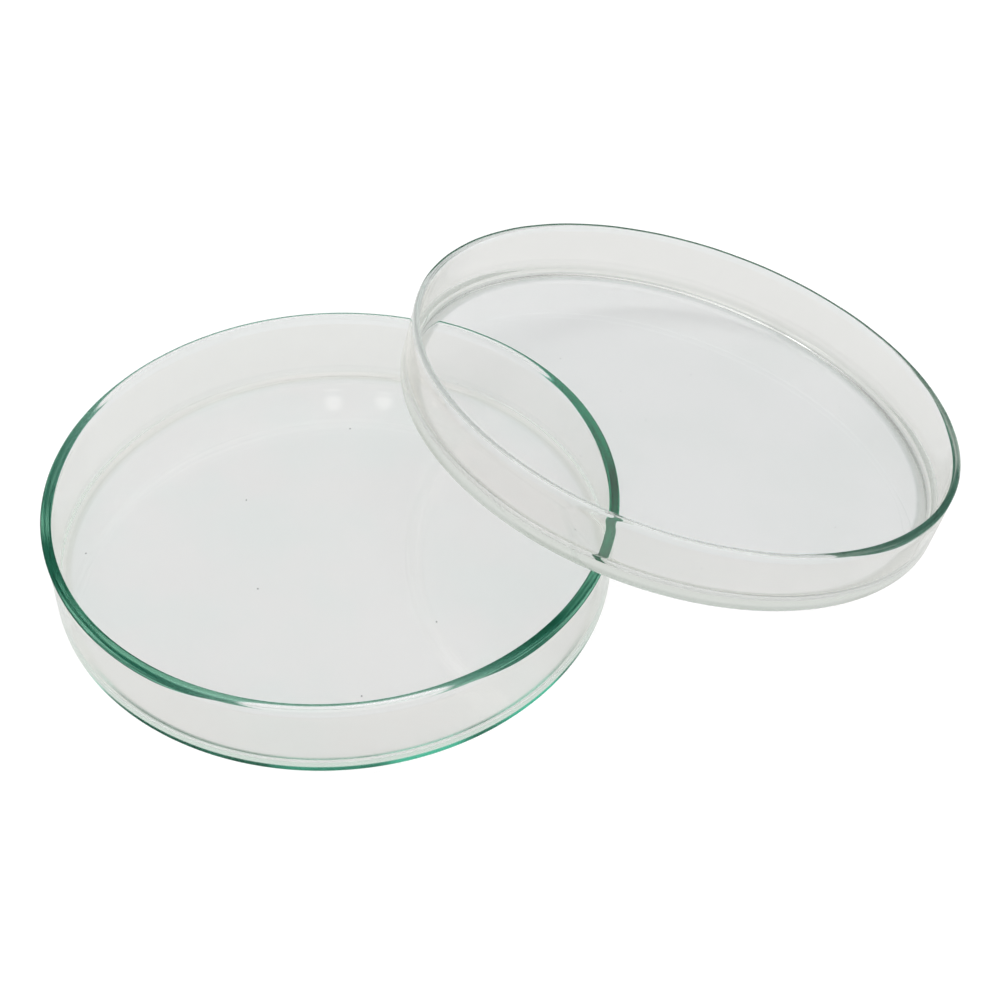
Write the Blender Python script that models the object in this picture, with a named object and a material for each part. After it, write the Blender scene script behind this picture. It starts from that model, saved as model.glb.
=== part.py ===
"""Glass petri dish with its lid taken off and leaned against it.

Frame: metres, +Z up. The bench is the plane Z = 0, and the origin is the centre of the bottom
dish's underside. The bottom dish stands mouth up. The lid lies mouth up as well: its flat outer
face rests on the dish's rim, and its heel, the rounded edge between plate and skirt, stands on
the bench. Both pieces are turned shapes, modelled mouth up around their own Z axis.

The lid is loose. The empty lid_lift marks the vertical line that it is lifted along.
"""

import math

import bmesh
import bpy
from mathutils import Matrix, Vector

# Driving dimensions of the two glass pieces. The lip of each is a fire-polished bead, fatter than
# the wall, and each side of the wall swells into it over BEAD_RUN.
DISH_OUTER_RADIUS = 0.0480
DISH_HEIGHT = 0.0157
DISH_BEAD_RADIUS = 0.00085
DISH_FLOOR_FILLET = 0.0016
LID_OUTER_RADIUS = 0.0496
LID_HEIGHT = 0.0119
LID_BEAD_RADIUS = 0.0006
LID_FLOOR_FILLET = 0.0026
WALL = 0.0011
FLOOR = 0.0014
HEEL_RADIUS = 0.0012
BEAD_RUN = 0.0022

# How the lid leans: where its downhill side points, and where the centre of its plate is seen
# from the dish's axis, measured along the downhill direction and across it (to the right of it)
DOWNHILL_AZIMUTH = math.radians(20.0)
PLATE_CENTRE_ALONG = 0.06194
PLATE_CENTRE_ACROSS = 0.00741
CONTACT_GAP = 0.0003

# Fineness of the turned surfaces
TURN_STEPS = 96
HEEL_STEPS = 5
SWELL_STEPS = 4
BEAD_STEPS = 10
FILLET_STEPS = 5
WELD_DISTANCE = 1e-6
SHARP_ANGLE = math.radians(35)

CLEAR_GREEN_GLASS = (0.86, 0.93, 0.90, 0.35)


def clear_scene():
    for old in list(bpy.data.objects):
        bpy.data.objects.remove(old, do_unlink=True)


def glass_material(name):
    material = bpy.data.materials.new(name)
    material.use_nodes = True
    shader = material.node_tree.nodes["Principled BSDF"]
    shader.inputs["Base Color"].default_value = CLEAR_GREEN_GLASS[:3] + (1.0,)
    shader.inputs["Roughness"].default_value = 0.02
    shader.inputs["Metallic"].default_value = 0.0
    shader.inputs["IOR"].default_value = 1.52
    shader.inputs["Transmission Weight"].default_value = 1.0
    material.diffuse_color = CLEAR_GREEN_GLASS
    return material


def arc(centre_r, centre_z, radius, start, end, steps):
    """Points (r, 0, z) along an arc in the profile plane, both ends included."""
    points = []
    for i in range(steps + 1):
        angle = math.radians(start + (end - start) * i / steps)
        points.append((centre_r + radius * math.cos(angle), 0.0, centre_z + radius * math.sin(angle)))
    return points


def swell(bead_radius, share):
    """How far each side of the wall has swollen, where share runs from the bead down to the wall."""
    return (bead_radius - WALL / 2) * (0.5 + 0.5 * math.cos(math.pi * share))


def half_section(outer_radius, height, bead_radius, fillet):
    """From the edge of the underside, up the outside, over the lip and down to the floor's edge."""
    bead_centre = outer_radius - bead_radius
    bead_level = height - bead_radius
    outside = bead_centre + WALL / 2
    inside = bead_centre - WALL / 2
    rise = []
    fall = []
    for i in range(1, SWELL_STEPS + 1):
        share = i / SWELL_STEPS
        level = bead_level - BEAD_RUN * share
        rise.insert(0, (outside + swell(bead_radius, share), 0.0, level))
        fall.append((inside - swell(bead_radius, share), 0.0, level))
    heel = arc(outside - HEEL_RADIUS, HEEL_RADIUS, HEEL_RADIUS, -90, 0, HEEL_STEPS)
    bead = arc(bead_centre, bead_level, bead_radius, 0, 180, BEAD_STEPS)
    floor_corner = arc(inside - fillet, FLOOR + fillet, fillet, 0, -90, FILLET_STEPS)
    return heel + rise + bead + fall + floor_corner


def turned_mesh(name, profile):
    """The profile spun round Z, with its two open rings closed by flat discs."""
    shape = bmesh.new()
    points = [shape.verts.new(point) for point in profile]
    line = [shape.edges.new(pair) for pair in zip(points, points[1:])]
    bmesh.ops.spin(
        shape,
        geom=points + line,
        cent=(0.0, 0.0, 0.0),
        axis=(0.0, 0.0, 1.0),
        angle=2 * math.pi,
        steps=TURN_STEPS,
        use_duplicate=False,
    )
    bmesh.ops.remove_doubles(shape, verts=shape.verts[:], dist=WELD_DISTANCE)
    open_rings = [edge for edge in shape.edges if edge.is_boundary]
    bmesh.ops.holes_fill(shape, edges=open_rings, sides=TURN_STEPS)
    bmesh.ops.recalc_face_normals(shape, faces=shape.faces[:])
    mesh = bpy.data.meshes.new(name)
    shape.to_mesh(mesh)
    shape.free()
    mesh.shade_smooth()
    mesh.set_sharp_from_angle(angle=SHARP_ANGLE)
    return mesh


def glass_piece(name, outer_radius, height, bead_radius, fillet):
    mesh = turned_mesh(name, half_section(outer_radius, height, bead_radius, fillet))
    mesh.materials.append(glass_material(name + "_glass"))
    piece = bpy.data.objects.new(name, mesh)
    bpy.context.collection.objects.link(piece)
    return piece


def plate_centre_height(sine):
    """Height of the plate's centre when the lid, tilted by this sine, has its heel on the bench."""
    cosine = math.sqrt(1 - sine * sine)
    heel_centre = LID_OUTER_RADIUS - LID_BEAD_RADIUS + WALL / 2 - HEEL_RADIUS
    return CONTACT_GAP + HEEL_RADIUS * (1 - cosine) + heel_centre * sine


def plate_above_rim(sine):
    """Room between the plate and the dish's rim at this tilt, less the contact gap."""
    cosine = math.sqrt(1 - sine * sine)
    rim_radius = DISH_OUTER_RADIUS - DISH_BEAD_RADIUS
    rim_height = DISH_HEIGHT - DISH_BEAD_RADIUS
    along = (PLATE_CENTRE_ALONG - rim_radius) * sine
    up = (plate_centre_height(sine) - rim_height) * cosine
    return along + up - DISH_BEAD_RADIUS - CONTACT_GAP


def lean_angle():
    """Tilt at which the heel stands on the bench and the plate rests on the rim."""
    low = 0.0
    high = 0.5
    for _ in range(60):
        middle = (low + high) / 2
        if plate_above_rim(middle) < 0:
            low = middle
        else:
            high = middle
    return math.asin(high)


def lean_lid(lid):
    """Puts the lid against the dish, under an empty on the line that it lifts along."""
    tilt = lean_angle()
    downhill = Vector((math.cos(DOWNHILL_AZIMUTH), math.sin(DOWNHILL_AZIMUTH), 0.0))
    right = Vector((downhill.y, -downhill.x, 0.0))
    lift = bpy.data.objects.new("lid_lift", None)
    bpy.context.collection.objects.link(lift)
    lift.empty_display_size = LID_HEIGHT
    lift.location = downhill * PLATE_CENTRE_ALONG + right * PLATE_CENTRE_ACROSS
    lift.location.z = plate_centre_height(math.sin(tilt))
    lid.parent = lift
    turn = Matrix.Rotation(DOWNHILL_AZIMUTH, 3, "Z") @ Matrix.Rotation(tilt, 3, "Y")
    lid.rotation_euler = turn.to_euler()


def main():
    clear_scene()
    glass_piece(
        "bottom_dish", DISH_OUTER_RADIUS, DISH_HEIGHT, DISH_BEAD_RADIUS, DISH_FLOOR_FILLET
    )
    lid = glass_piece("lid", LID_OUTER_RADIUS, LID_HEIGHT, LID_BEAD_RADIUS, LID_FLOOR_FILLET)
    lean_lid(lid)


main()
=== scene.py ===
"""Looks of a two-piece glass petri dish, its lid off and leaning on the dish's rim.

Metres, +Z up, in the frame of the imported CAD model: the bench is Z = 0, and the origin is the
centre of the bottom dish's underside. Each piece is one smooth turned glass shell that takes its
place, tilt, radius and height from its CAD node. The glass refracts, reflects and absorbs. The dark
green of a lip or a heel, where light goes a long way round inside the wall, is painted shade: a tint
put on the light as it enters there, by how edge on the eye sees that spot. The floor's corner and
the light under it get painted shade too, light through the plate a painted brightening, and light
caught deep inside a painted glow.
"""

import math

import bpy
import numpy as np
from mathutils import Matrix, Vector

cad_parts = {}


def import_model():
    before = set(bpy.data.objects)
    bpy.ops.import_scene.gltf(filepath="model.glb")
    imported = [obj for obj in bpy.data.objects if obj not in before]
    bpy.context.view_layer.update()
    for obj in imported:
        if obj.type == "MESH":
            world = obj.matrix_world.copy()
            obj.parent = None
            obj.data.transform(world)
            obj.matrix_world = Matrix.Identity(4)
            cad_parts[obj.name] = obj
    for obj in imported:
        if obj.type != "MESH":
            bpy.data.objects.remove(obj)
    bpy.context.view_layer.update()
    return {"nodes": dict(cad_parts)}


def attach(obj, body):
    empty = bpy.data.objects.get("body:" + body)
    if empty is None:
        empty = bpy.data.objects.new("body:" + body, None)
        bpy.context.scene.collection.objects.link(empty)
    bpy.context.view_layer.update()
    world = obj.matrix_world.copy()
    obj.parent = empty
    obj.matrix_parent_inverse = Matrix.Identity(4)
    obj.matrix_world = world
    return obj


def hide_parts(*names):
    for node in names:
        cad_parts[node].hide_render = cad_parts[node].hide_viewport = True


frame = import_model()

# The glass, in metres: the same section as the CAD's
WALL = 0.0011
FLOOR = 0.0014
HEEL_RADIUS = 0.0012
DISH_BEAD = 0.00085
LID_BEAD = 0.0006
BEAD_RUN = 0.0022
DISH_FILLET = 0.0016
LID_FILLET = 0.0026
AXIS_HOLE = 0.0003
GLASS_IOR = 1.52

TURN_STEPS = 720

# Steps along each stretch of the section
FLAT_STEPS = 12
WALL_STEPS = 8
SWELL_STEPS = 12
BEAD_STEPS = 32
CORNER_STEPS = 14

# How far each lip wanders from a true circle
DISH_SWAY = 0.00003
LID_SWAY = 0.00008

# Height of the band of painted shade at the foot of the outside wall, from clear down to full colour
HEEL_BAND = (0.0019, 0.0015)

# Light that has bounced inside the glass this often counts as guided and gets the painted shade of
# guided light, and past CAUGHT_DEPTH it is taken to be lost in there and a painted glow takes its
# place
GUIDED_BOUNCES = (1.5, 5.5)
CAUGHT_DEPTH = 13.5

# The painted dark line on a lip's silhouette: its soft edge, and the widest line, which covers the
# whole lip
LINE_SOFTNESS = 0.06
WIDEST_LINE = 1.15

# Patterns: fine streaks in the lip's painted shade, smudges that make the plate's painted light
# uneven, specks of dust on the plate, and patches in the heel's painted shade
STREAKS_PER_METRE = 1800.0
STREAK_SCALE = 1.6
SMUDGE_SCALE = 55.0
SMUDGE_RANGE = (0.40, 0.68)
SPECK_SCALE = 38.0
SPECK_SIZE = (0.0062, 0.0046)
SPECK_COLOUR = (0.35, 0.35, 0.35)
HEEL_PATCHES = (0.42, 0.60)
CLEAR = (1.0, 1.0, 1.0)

# The camera: where it stands, where it looks, and how far it is rolled
CAMERA_PLACE = Vector((0.0, -0.20166, 0.20626))
CAMERA_TARGET = Vector((0.02986, 0.01015, 0.0))
CAMERA_ROLL = math.radians(1.953)
CAMERA_LENS = 59.28

# The light, in units of the white of the background
ROOM_LIGHT = 1.14
BACK_WALL_DROP = 0.66
PANEL_LIGHT = 3.0
PANEL_DEPTH = 0.05
PANEL_HALF = 0.06
PANEL_SOFTNESS = 0.02
WINDOW_LIGHT = 0.8
WINDOW_AZIMUTHS = (89.7, 87.3)
WINDOW_ELEVATION = 40.5
LIGHT_BOUNCES = 32

# Half the bench's width, and how far it is below the glass
BENCH_HALF = 3.0
BENCH_GAP = 0.0001

# The paper that the glass lies on, as the eye sees it and as it lights the glass
PAPER_SEEN = (1.06, 1.05, 1.055)
PAPER_LIGHT = (0.768, 0.782, 0.776)

# How each piece of glass looks. Colours are linear factors on light, and most work on light that
# enters the glass. Most of them paint light or shade on the glass.
# absorb: how fast the glass soaks up red, green and blue, per metre.
# guided_shade: painted shade, the dark green put on one bounce of guided light, and near_lip and
# heel: its shares in the lip and low on the near wall. painted_lip_glow, painted_glow: a painted
# glow in place of light that never gets out of the lip, or of the rest.
# lip_shade_dark, lip_shade_pale: painted shade on the lip where it is seen edge on, between two
# streak colours picked by the noise range streaks. lip_shade_line: the painted dark line along its
# silhouette where it is seen face on, and line: how wide that is on the far and on the near side.
# lip_shade_beyond: painted shade on the lip seen through other glass.
# edge_on: how far the wall must run along the sight for the wide dark lip, and thick: on which
# side, towards the azimuth thick_towards.
# wall: the wall's own tint. corner_shade: painted shade in the floor's corner. plate,
# smudge_and_painted_light: painted light, a brightening of light through the plate, clean and
# smudged. under: painted shade on light inside, under the corner. specks: how strong
# the dust is.
# heel_shade_dark, heel_shade_pale: painted shade on the near heel, between two colours that change
# round it.
DISH_LOOK = {
    "absorb": (2.5, 0.8, 1.6),
    "guided_shade": (0.42, 0.66, 0.585),
    "near_lip": 0.35,
    "heel": 0.05,
    "lip_shade_dark": (0.02, 0.125, 0.08),
    "lip_shade_pale": (0.24, 0.54, 0.40),
    "lip_shade_line": (0.30, 0.52, 0.43),
    "line": (0.65, 0.80),
    "lip_shade_beyond": (0.2, 0.72, 0.6),
    "streaks": (0.45, 0.60),
    "edge_on": (0.42, 0.86),
    "thick_towards": 0.0,
    "thick": (-1.3, -1.2),
    "wall": (0.985, 0.975, 0.96),
    "corner_shade": (0.96, 0.96, 0.95),
    "under": (1.0, 1.0, 1.0),
    "plate": (1.055, 1.035, 1.035),
    "smudge_and_painted_light": (1.025, 1.035, 1.03),
    "specks": 1.0,
    "painted_lip_glow": (0.55, 0.68, 0.62),
    "painted_glow": (0.76, 0.79, 0.765),
    "heel_shade_dark": (0.05, 0.16, 0.115),
    "heel_shade_pale": (0.14, 0.68, 0.49),
}
LID_LOOK = {
    "absorb": (1.5, 0.7, 1.1),
    "guided_shade": (0.50, 0.66, 0.59),
    "near_lip": 0.2,
    "heel": 0.0,
    "lip_shade_dark": (0.10, 0.22, 0.17),
    "lip_shade_pale": (0.80, 0.86, 0.80),
    "lip_shade_line": (0.16, 0.27, 0.21),
    "line": (0.86, 0.0),
    "lip_shade_beyond": (1.0, 1.0, 1.0),
    "streaks": (0.48, 0.62),
    "edge_on": (0.50, 0.95),
    "thick_towards": 10.0,
    "thick": (-0.2, 0.5),
    "wall": (0.985, 0.97, 0.955),
    "corner_shade": (0.92, 0.93, 0.92),
    "under": (0.84, 0.855, 0.85),
    "plate": (1.04, 1.035, 1.04),
    "smudge_and_painted_light": (1.015, 1.02, 1.02),
    "specks": 0.3,
    "painted_lip_glow": (0.12, 0.20, 0.16),
    "painted_glow": (0.72, 0.73, 0.715),
    "heel_shade_dark": (0.93, 0.935, 0.92),
    "heel_shade_pale": (1.0, 1.0, 1.0),
}


# ---------------------------------------------------------------- shapes

def measure(node):
    """The plate's centre, the axis out of the mouth, the radius and the height of a turned node."""
    points = np.array([vertex.co[:] for vertex in frame["nodes"][node].data.vertices])
    middle = points.mean(axis=0)
    _, ways = np.linalg.eigh(np.cov((points - middle).T))
    axis = ways[:, 0] * np.sign(ways[2, 0])
    heights = (points - middle) @ axis
    outwards = (points - middle) - np.outer(heights, axis)
    radius = np.linalg.norm(outwards, axis=1).max()
    return {
        "centre": Vector(middle + axis * heights.min()),
        "axis": Vector(axis),
        "radius": float(radius),
        "height": float(heights.max() - heights.min()),
    }


def arc(centre_r, centre_z, radius, start, end, steps):
    """Points (r, z) along an arc in the profile plane, without its first point."""
    points = []
    for i in range(1, steps + 1):
        angle = math.radians(start + (end - start) * i / steps)
        points.append((centre_r + radius * math.cos(angle), centre_z + radius * math.sin(angle)))
    return points


def straight(first, last, steps):
    """Points (r, z) along a line, without its first point."""
    points = []
    for i in range(1, steps + 1):
        share = i / steps
        points.append((
            first[0] + (last[0] - first[0]) * share,
            first[1] + (last[1] - first[1]) * share,
        ))
    return points


def swell(bead, share):
    """How far each side of the wall has swollen, where share runs from the bead down to the wall."""
    return (bead - WALL / 2) * (0.5 + 0.5 * math.cos(math.pi * share))


def half_section(radius, height, bead, fillet):
    """From the centre of the underside, up the outside, over the bead and in to the floor's centre."""
    middle = radius - bead
    outer = middle + WALL / 2
    inner = middle - WALL / 2
    bead_level = height - bead
    points = [(AXIS_HOLE, 0.0)]
    points += straight(points[-1], (outer - HEEL_RADIUS, 0.0), FLAT_STEPS)
    points += arc(outer - HEEL_RADIUS, HEEL_RADIUS, HEEL_RADIUS, -90, 0, CORNER_STEPS)
    points += straight(points[-1], (outer, bead_level - BEAD_RUN), WALL_STEPS)
    for i in range(1, SWELL_STEPS + 1):
        share = 1 - i / SWELL_STEPS
        points.append((outer + swell(bead, share), bead_level - BEAD_RUN * share))
    points += arc(middle, bead_level, bead, 0, 180, BEAD_STEPS)
    for i in range(1, SWELL_STEPS + 1):
        share = i / SWELL_STEPS
        points.append((inner - swell(bead, share), bead_level - BEAD_RUN * share))
    points += straight(points[-1], (inner, FLOOR + fillet), WALL_STEPS)
    points += arc(inner - fillet, FLOOR + fillet, fillet, 0, -90, CORNER_STEPS)
    points += straight(points[-1], (AXIS_HOLE, FLOOR), FLAT_STEPS)
    return points


def unevenness(angles, sway):
    """The small wander of a lip that was melted smooth by hand, at each angle round it."""
    slow = np.sin(2 * angles + 0.7) + 0.7 * np.sin(3 * angles + 2.1) + 0.5 * np.sin(7 * angles + 4.0)
    quick = 0.35 * np.sin(17 * angles + 1.0) + 0.25 * np.sin(29 * angles + 3.0)
    return sway * (slow + quick) / 2.5


def turned_piece(name, size, bead, fillet, sway):
    """A smooth shell spun round its own axis, then stood where its CAD node is."""
    profile = np.array(half_section(size["radius"], size["height"], bead, fillet))
    angles = np.arange(TURN_STEPS) * 2 * math.pi / TURN_STEPS
    rings = len(profile)
    radii = np.repeat(profile[:, 0][:, None], TURN_STEPS, axis=1)
    levels = np.repeat(profile[:, 1][:, None], TURN_STEPS, axis=1)
    upper = np.clip((levels / size["height"] - 0.5) / 0.5, 0.0, 1.0) ** 2
    radii = radii - sway * upper + unevenness(angles, sway) * upper
    levels = levels - sway * upper + unevenness(angles + 1.3, sway) * upper
    points = np.stack([radii * np.cos(angles), radii * np.sin(angles), levels], axis=2)
    faces = []
    for ring in range(rings - 1):
        for step in range(TURN_STEPS):
            after = (step + 1) % TURN_STEPS
            low = ring * TURN_STEPS
            high = low + TURN_STEPS
            faces.append((low + step, low + after, high + after, high + step))
    faces.append(tuple(reversed(range(TURN_STEPS))))
    faces.append(tuple((rings - 1) * TURN_STEPS + step for step in range(TURN_STEPS)))
    mesh = bpy.data.meshes.new(name)
    mesh.from_pydata(points.reshape(-1, 3).tolist(), [], faces)
    mesh.shade_smooth()
    turn = Vector((0.0, 0.0, 1.0)).rotation_difference(size["axis"])
    mesh.transform(Matrix.Translation(size["centre"]) @ turn.to_matrix().to_4x4())
    piece = bpy.data.objects.new(name, mesh)
    bpy.context.scene.collection.objects.link(piece)
    return piece


# ---------------------------------------------------------------- materials

def new_material(name):
    material = bpy.data.materials.new(name)
    material.use_nodes = True
    material.node_tree.nodes.clear()
    return material, material.node_tree


def put(tree, socket, value):
    """Feeds a socket with another socket's output or with a plain value."""
    if isinstance(value, bpy.types.NodeSocket):
        tree.links.new(value, socket)
    elif socket.type == "RGBA":
        socket.default_value = value + (1.0,)
    else:
        socket.default_value = value


def calc(tree, kind, first, second=0.0):
    node = tree.nodes.new("ShaderNodeMath")
    node.operation = kind
    put(tree, node.inputs[0], first)
    put(tree, node.inputs[1], second)
    return node.outputs[0]


def product(tree, *factors):
    result = factors[0]
    for factor in factors[1:]:
        result = calc(tree, "MULTIPLY", result, factor)
    return result


def vector(tree, kind, first, second=(0.0, 0.0, 0.0), output="Vector"):
    node = tree.nodes.new("ShaderNodeVectorMath")
    node.operation = kind
    put(tree, node.inputs[0], first)
    put(tree, node.inputs[1], second)
    return node.outputs[output]


def scaled(tree, way, length):
    """A vector times a number."""
    node = tree.nodes.new("ShaderNodeVectorMath")
    node.operation = "SCALE"
    put(tree, node.inputs[0], way)
    put(tree, node.inputs["Scale"], length)
    return node.outputs["Vector"]


def ramp(tree, value, low, high):
    """0 at low, 1 at high, smooth between. Low may be the larger one, for a falling ramp."""
    node = tree.nodes.new("ShaderNodeMapRange")
    node.interpolation_type = "SMOOTHSTEP"
    put(tree, node.inputs["Value"], value)
    rising = low < high
    node.inputs["From Min"].default_value = min(low, high)
    node.inputs["From Max"].default_value = max(low, high)
    node.inputs["To Min"].default_value = 0.0 if rising else 1.0
    node.inputs["To Max"].default_value = 1.0 if rising else 0.0
    return node.outputs["Result"]


def between(tree, factor, first, second):
    """The number that is this far from first to second."""
    node = tree.nodes.new("ShaderNodeMix")
    put(tree, node.inputs["Factor"], factor)
    put(tree, node.inputs["A"], first)
    put(tree, node.inputs["B"], second)
    return node.outputs["Result"]


def colours(tree, kind, factor, first, second):
    node = tree.nodes.new("ShaderNodeMix")
    node.data_type = "RGBA"
    node.blend_type = kind
    put(tree, node.inputs["Factor"], factor)
    put(tree, node.inputs["A"], first)
    put(tree, node.inputs["B"], second)
    return node.outputs["Result"]


def tone(tree, factor, first, second):
    """The colour that is this far from first to second."""
    return colours(tree, "MIX", factor, first, second)


def times(tree, first, *others):
    """The product of colours."""
    result = first
    for other in others:
        result = colours(tree, "MULTIPLY", 1.0, result, other)
    return result


def root(colour):
    """The colour that gives this one when it is multiplied by itself."""
    return tuple(math.sqrt(part) for part in colour)


def noise(tree, place, scale, detail, seed):
    node = tree.nodes.new("ShaderNodeTexNoise")
    node.noise_dimensions = "4D"
    put(tree, node.inputs["Vector"], place)
    node.inputs["Scale"].default_value = scale
    node.inputs["Detail"].default_value = detail
    node.inputs["W"].default_value = seed
    return node.outputs["Fac"]


def sight_line(tree, place):
    """The unit vector from the eye to the hit, in world space."""
    turn = tree.nodes.new("ShaderNodeVectorTransform")
    turn.vector_type = "VECTOR"
    turn.convert_from = "CAMERA"
    turn.convert_to = "WORLD"
    put(tree, turn.inputs[0], place.outputs["Camera"])
    return vector(tree, "NORMALIZE", turn.outputs[0])


def bearings(tree, size):
    """Where a hit is on a turned piece, and how its wall lies to the line of sight.

    place: the hit itself. level: height over the outer face of the plate. reach: distance from the
    axis. round: a point on a circle of radius 1, for patterns that run round the piece. side: 1
    where the line of sight runs along the wall. away: above 0 where the wall faces the eye across
    the piece, below 0 where its outside does. facing: 0 on the silhouette, 1 where the surface
    faces the eye as squarely as its section can.
    """
    axis = tuple(size["axis"])
    place = tree.nodes.new("ShaderNodeTexCoord")
    middle = vector(tree, "SUBTRACT", place.outputs["Object"], tuple(size["centre"]))
    level = vector(tree, "DOT_PRODUCT", middle, axis, "Value")
    outwards = vector(tree, "SUBTRACT", middle, scaled(tree, axis, level))
    radial = vector(tree, "NORMALIZE", outwards)
    along = vector(tree, "CROSS_PRODUCT", axis, radial)
    sight = sight_line(tree, place)
    side = calc(tree, "ABSOLUTE", vector(tree, "DOT_PRODUCT", sight, along, "Value"))
    normal = tree.nodes.new("ShaderNodeNewGeometry").outputs["Normal"]
    squarely = calc(tree, "ABSOLUTE", vector(tree, "DOT_PRODUCT", sight, normal, "Value"))
    across = calc(tree, "SQRT", calc(tree, "SUBTRACT", 1.001, product(tree, side, side)))
    return {
        "place": place.outputs["Object"],
        "level": level,
        "reach": vector(tree, "LENGTH", outwards, output="Value"),
        "round": radial,
        "side": side,
        "away": vector(tree, "DOT_PRODUCT", sight, radial, output="Value"),
        "facing": calc(tree, "DIVIDE", squarely, across),
    }


def hits(tree, look, size, bead):
    """The bearings of a hit, with masks for the part of the piece it is on and for its ray."""
    spot = bearings(tree, size)
    path = tree.nodes.new("ShaderNodeLightPath")
    spot["path"] = path
    spot["inside"] = tree.nodes.new("ShaderNodeNewGeometry").outputs["Backfacing"]
    outside = calc(tree, "SUBTRACT", 1.0, spot["inside"])
    spot["seen"] = calc(tree, "LESS_THAN", path.outputs["Diffuse Depth"], 0.5)
    spot["entering"] = product(tree, outside, spot["seen"])
    lip_foot = size["height"] - 2.0 * bead
    spot["lip"] = ramp(tree, spot["level"], lip_foot - 0.0004, lip_foot)
    spot["below"] = calc(tree, "SUBTRACT", 1.0, spot["lip"])
    spot["near"] = ramp(tree, spot["away"], 0.25, -0.05)
    along = calc(tree, "ADD", spot["side"], product(tree, spot["near"], 0.3))
    towards = heading(look["thick_towards"], 0.0)
    thick = vector(tree, "DOT_PRODUCT", spot["round"], towards, "Value")
    edge_on = ramp(tree, along, *look["edge_on"])
    spot["side_on"] = product(tree, edge_on, ramp(tree, thick, *look["thick"]))
    return spot


def guide_tint(tree, look, spot):
    """Painted shade: the green that light takes on as it is guided along inside the glass."""
    bounces = spot["path"].outputs["Glossy Depth"]
    several = calc(tree, "GREATER_THAN", bounces, GUIDED_BOUNCES[0])
    few = calc(tree, "LESS_THAN", bounces, GUIDED_BOUNCES[1])
    guided = product(tree, spot["inside"], spot["seen"], several, few)
    edge_on_share = product(tree, spot["side_on"], look["near_lip"])
    lip_share = calc(tree, "SUBTRACT", look["near_lip"], edge_on_share)
    low_share = product(tree, spot["below"], spot["near"], look["heel"])
    share = calc(tree, "ADD", product(tree, spot["lip"], lip_share), low_share)
    return tone(tree, product(tree, guided, share), CLEAR, look["guided_shade"])


def lip_tint(tree, look, spot, size, bead):
    """Painted shade on the lip: a thin dark line on its silhouette, which grows over the whole lip, in
    paler and darker streaks, where it's edge on.
    """
    drawn = scaled(tree, tuple(size["axis"]), product(tree, spot["level"], STREAKS_PER_METRE))
    streaks = noise(tree, vector(tree, "ADD", drawn, spot["round"]), STREAK_SCALE, 2.0, 0.0)
    streak = ramp(tree, streaks, *look["streaks"])
    half = tone(tree, streak, root(look["lip_shade_dark"]), root(look["lip_shade_pale"]))
    half = tone(tree, spot["side_on"], root(look["lip_shade_line"]), half)
    far_line, near_line = look["line"]
    thin = between(tree, spot["near"], far_line, near_line)
    width = between(tree, ramp(tree, spot["side_on"], 0.0, 0.5), thin, WIDEST_LINE)
    past = calc(tree, "SUBTRACT", spot["facing"], width)
    silhouette = ramp(tree, past, LINE_SOFTNESS, -LINE_SOFTNESS)
    depth = between(tree, ramp(tree, spot["side_on"], 0.4, 1.0), 0.65 * bead, 2.2 * bead)
    over = calc(tree, "ADD", calc(tree, "SUBTRACT", spot["level"], size["height"]), depth)
    crest = ramp(tree, over, -0.1 * bead, 0.1 * bead)
    lined = product(tree, spot["entering"], spot["lip"], silhouette, crest)
    # Painted shade, darker still, where the lip is seen through other glass.
    through = calc(tree, "GREATER_THAN", spot["path"].outputs["Transmission Depth"], 1.5)
    half = tone(tree, lined, CLEAR, half)
    half = times(tree, half, tone(tree, product(tree, lined, through), CLEAR, look["lip_shade_beyond"]))
    return times(tree, half, half)


def heel_tint(tree, look, spot, size):
    """Painted shade: the green line along the near heel."""
    patches = ramp(tree, noise(tree, spot["round"], 3.0, 1.0, 7.0), *HEEL_PATCHES)
    half = tone(tree, patches, root(look["heel_shade_dark"]), root(look["heel_shade_pale"]))
    front = ramp(tree, spot["away"], -0.15, -0.4)
    edge = ramp(tree, spot["reach"], size["radius"] - 0.0030, size["radius"] - 0.0020)
    band = ramp(tree, spot["level"], *HEEL_BAND)
    half = tone(tree, product(tree, spot["entering"], front, edge, band), CLEAR, half)
    return times(tree, half, half)


def plate_tint(tree, look, spot):
    """Painted light on the plate: light through it is brightened, a little unevenly from smudges, with
    a few specks of dust.
    """
    smudge_and_painted_light = ramp(tree, noise(tree, spot["place"], SMUDGE_SCALE, 4.0, 3.0), *SMUDGE_RANGE)
    painted_light_and_dust = tone(tree, smudge_and_painted_light, look["plate"], look["smudge_and_painted_light"])
    dust = tree.nodes.new("ShaderNodeTexVoronoi")
    dust.voronoi_dimensions = "2D"
    dust.inputs["Scale"].default_value = SPECK_SCALE
    put(tree, dust.inputs["Vector"], spot["place"])
    speck = product(tree, ramp(tree, dust.outputs["Distance"], *SPECK_SIZE), look["specks"])
    painted_light_and_dust = tone(tree, speck, painted_light_and_dust, SPECK_COLOUR)
    plate = ramp(tree, spot["level"], 0.0024, 0.0018)
    return tone(tree, product(tree, spot["entering"], plate), CLEAR, painted_light_and_dust)


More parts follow.
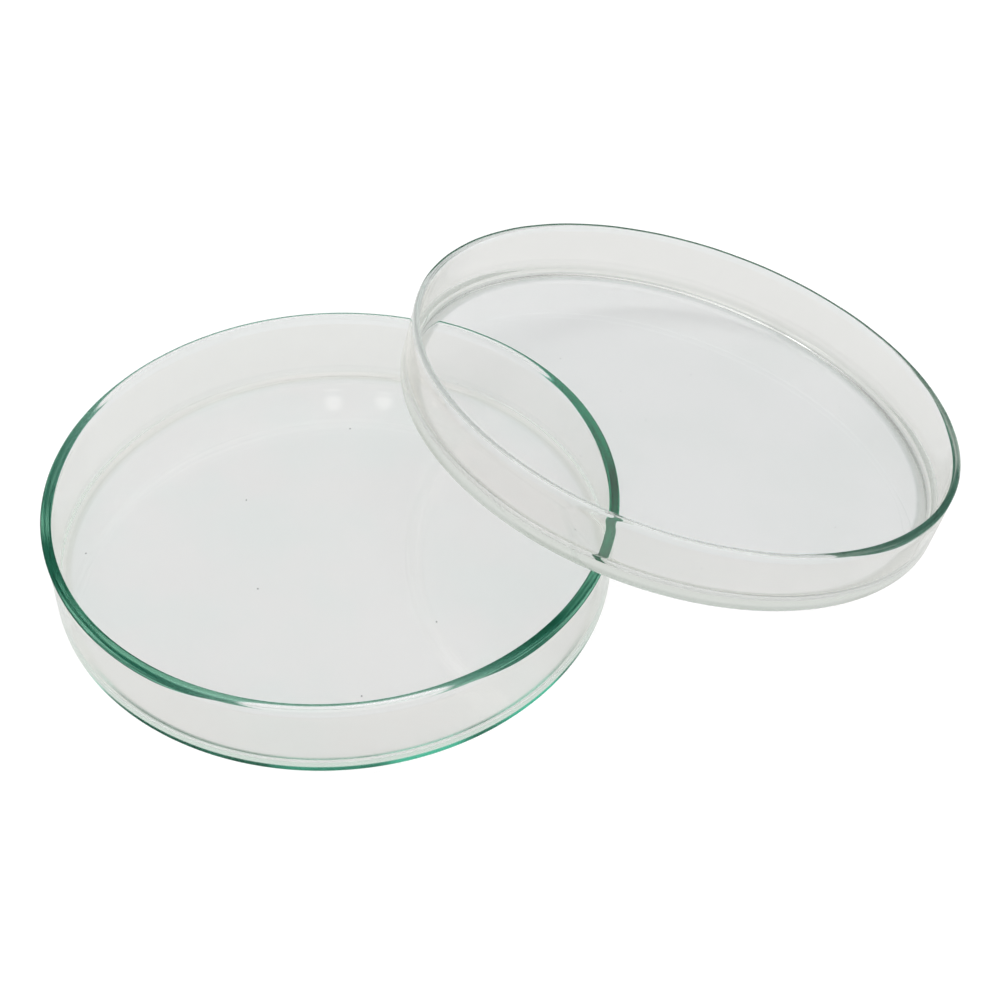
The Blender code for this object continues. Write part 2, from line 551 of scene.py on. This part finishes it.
def wall_tint(tree, look, spot, size, bead, fillet):
    """The wall's own tint, painted shade in the corner between wall and floor, and painted shade on
    the light under that corner.
    """
    inner = size["radius"] - bead - WALL / 2
    floor_edge = inner - fillet
    standing = ramp(tree, spot["reach"], floor_edge, inner - 0.7 * fillet)
    wall = product(tree, spot["entering"], standing, spot["below"])
    # Painted shade in the corner between wall and floor.
    corner_shade = product(
        tree,
        spot["entering"],
        ramp(tree, spot["level"], FLOOR + 0.75 * fillet, FLOOR + 0.35 * fillet),
        ramp(tree, spot["reach"], floor_edge - 0.0004, floor_edge + 0.0001),
        ramp(tree, spot["reach"], inner + 0.0006, inner + 0.0002),
    )
    # Painted shade on the light inside, under that corner.
    under = product(
        tree,
        spot["inside"],
        spot["seen"],
        ramp(tree, spot["level"], 0.0004, 0.0002),
        ramp(tree, spot["reach"], floor_edge - 0.0004, floor_edge + 0.0004),
    )
    return times(
        tree,
        tone(tree, wall, CLEAR, look["wall"]),
        tone(tree, corner_shade, CLEAR, look["corner_shade"]),
        tone(tree, under, CLEAR, look["under"]),
    )


def glass(name, look, size, bead, fillet):
    """Clear glass, with painted shade tinted on where light goes a long way inside it, painted light
    on its plate, and a painted glow for light caught inside it.
    """
    material, tree = new_material(name)
    spot = hits(tree, look, size, bead)

    body = tree.nodes.new("ShaderNodeBsdfGlass")
    body.inputs["IOR"].default_value = GLASS_IOR
    body.inputs["Roughness"].default_value = 0.0
    put(tree, body.inputs["Color"], times(
        tree,
        guide_tint(tree, look, spot),
        lip_tint(tree, look, spot, size, bead),
        plate_tint(tree, look, spot),
        wall_tint(tree, look, spot, size, bead, fillet),
        heel_tint(tree, look, spot, size),
    ))

    # A painted glow: light caught inside past CAUGHT_DEPTH is replaced by emission of these colours.
    glow = tree.nodes.new("ShaderNodeEmission")
    put(tree, glow.inputs["Color"], tone(tree, spot["lip"], look["painted_glow"], look["painted_lip_glow"]))
    deep = calc(tree, "GREATER_THAN", spot["path"].outputs["Ray Depth"], CAUGHT_DEPTH)
    ends = tree.nodes.new("ShaderNodeMixShader")
    put(tree, ends.inputs[0], product(tree, spot["inside"], deep))
    put(tree, ends.inputs[1], body.outputs[0])
    put(tree, ends.inputs[2], glow.outputs[0])
    material.cycles.emission_sampling = "NONE"

    soak = tree.nodes.new("ShaderNodeVolumeAbsorption")
    density = max(look["absorb"]) * 1.25
    soak.inputs["Density"].default_value = density
    put(tree, soak.inputs["Color"], tuple(1 - part / density for part in look["absorb"]))
    out = tree.nodes.new("ShaderNodeOutputMaterial")
    put(tree, out.inputs["Surface"], ends.outputs[0])
    put(tree, out.inputs["Volume"], soak.outputs[0])
    return material


def bench_material():
    """Pale paper, burnt out to white where the eye sees it, and greyer as it lights the glass."""
    material, tree = new_material("bench_paper")
    seen = tree.nodes.new("ShaderNodeLightPath").outputs["Is Camera Ray"]
    paper = tree.nodes.new("ShaderNodeBsdfDiffuse")
    put(tree, paper.inputs["Color"], tone(tree, seen, PAPER_LIGHT, PAPER_SEEN))
    out = tree.nodes.new("ShaderNodeOutputMaterial")
    put(tree, out.inputs["Surface"], paper.outputs[0])
    return material


# ---------------------------------------------------------------- stage

def bench():
    mesh = bpy.data.meshes.new("bench")
    corners = [(-BENCH_HALF, -BENCH_HALF, 0), (BENCH_HALF, -BENCH_HALF, 0)]
    corners += [(BENCH_HALF, BENCH_HALF, 0), (-BENCH_HALF, BENCH_HALF, 0)]
    mesh.from_pydata(corners, [], [(0, 1, 2, 3)])
    top = bpy.data.objects.new("bench", mesh)
    bpy.context.scene.collection.objects.link(top)
    top.location.z = -BENCH_GAP
    mesh.materials.append(bench_material())


def heading(azimuth, elevation):
    """The unit vector towards this azimuth (from +X) and elevation, in degrees."""
    turn = math.radians(azimuth)
    rise = math.radians(elevation)
    return (math.cos(rise) * math.cos(turn), math.cos(rise) * math.sin(turn), math.sin(rise))


def world():
    """An even white room: two ceiling panels in a row, two small windows and a darker back wall."""
    sky = bpy.data.worlds.new("studio")
    bpy.context.scene.world = sky
    sky.use_nodes = True
    tree = sky.node_tree
    way = tree.nodes.new("ShaderNodeTexCoord").outputs["Generated"]
    split = tree.nodes.new("ShaderNodeSeparateXYZ")
    put(tree, split.inputs[0], way)
    across = split.outputs["X"]
    depth = split.outputs["Y"]
    height = split.outputs["Z"]
    off_row = calc(tree, "ABSOLUTE", calc(tree, "SUBTRACT", depth, PANEL_DEPTH))
    in_row = ramp(tree, off_row, PANEL_HALF + PANEL_SOFTNESS, PANEL_HALF)
    row = product(tree, ramp(tree, height, 0.0, 0.1), in_row)
    left = product(tree, ramp(tree, across, -0.48, -0.44), ramp(tree, across, -0.16, -0.18))
    right = product(tree, ramp(tree, across, -0.01, 0.01), ramp(tree, across, 0.34, 0.30))
    light = product(tree, row, calc(tree, "ADD", left, right), PANEL_LIGHT)
    for azimuth in WINDOW_AZIMUTHS:
        off = vector(tree, "DISTANCE", way, heading(azimuth, WINDOW_ELEVATION), output="Value")
        window = product(tree, ramp(tree, off, 0.008, 0.002), WINDOW_LIGHT)
        light = calc(tree, "ADD", light, window)
    back = tree.nodes["Background"]
    back.inputs["Color"].default_value = (1.0, 1.0, 1.0, 1.0)
    wall = product(tree, ramp(tree, depth, 0.15, 0.5), ramp(tree, height, 0.93, 0.80))
    seen = tree.nodes.new("ShaderNodeLightPath").outputs["Is Camera Ray"]
    unseen = calc(tree, "SUBTRACT", 1.0, seen)
    room = calc(tree, "SUBTRACT", ROOM_LIGHT, product(tree, wall, unseen, BACK_WALL_DROP))
    put(tree, back.inputs["Strength"], calc(tree, "ADD", light, room))


def camera():
    data = bpy.data.cameras.new("camera")
    eye = bpy.data.objects.new("camera", data)
    bpy.context.scene.collection.objects.link(eye)
    look = (CAMERA_TARGET - CAMERA_PLACE).to_track_quat("-Z", "Y").to_matrix()
    look = look @ Matrix.Rotation(CAMERA_ROLL, 3, "Z")
    eye.matrix_world = Matrix.Translation(CAMERA_PLACE) @ look.to_4x4()
    data.lens = CAMERA_LENS
    data.sensor_width = 36.0
    data.clip_start = 0.005
    bpy.context.scene.camera = eye


def render_paths():
    """Long light paths, for light that bounces many times inside glass."""
    scene = bpy.context.scene
    scene.view_settings.view_transform = "Standard"
    scene.cycles.blur_glossy = 0.0
    scene.cycles.sample_clamp_indirect = 2.5
    scene.cycles.max_bounces = LIGHT_BOUNCES
    scene.cycles.transmission_bounces = LIGHT_BOUNCES
    scene.cycles.glossy_bounces = LIGHT_BOUNCES
    scene.cycles.transparent_max_bounces = LIGHT_BOUNCES


def glass_piece(node, body, look, bead, fillet, sway):
    size = measure(node)
    piece = turned_piece(node + "_glass", size, bead, fillet, sway)
    slot = body + "_glass"
    piece.data.materials.append(glass(slot, look, size, bead, fillet))
    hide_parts(node)
    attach(piece, body)


def main():
    render_paths()
    glass_piece("bottom_dish", "dish", DISH_LOOK, DISH_BEAD, DISH_FILLET, DISH_SWAY)
    glass_piece("lid", "lid", LID_LOOK, LID_BEAD, LID_FILLET, LID_SWAY)
    bench()
    world()
    camera()


main()
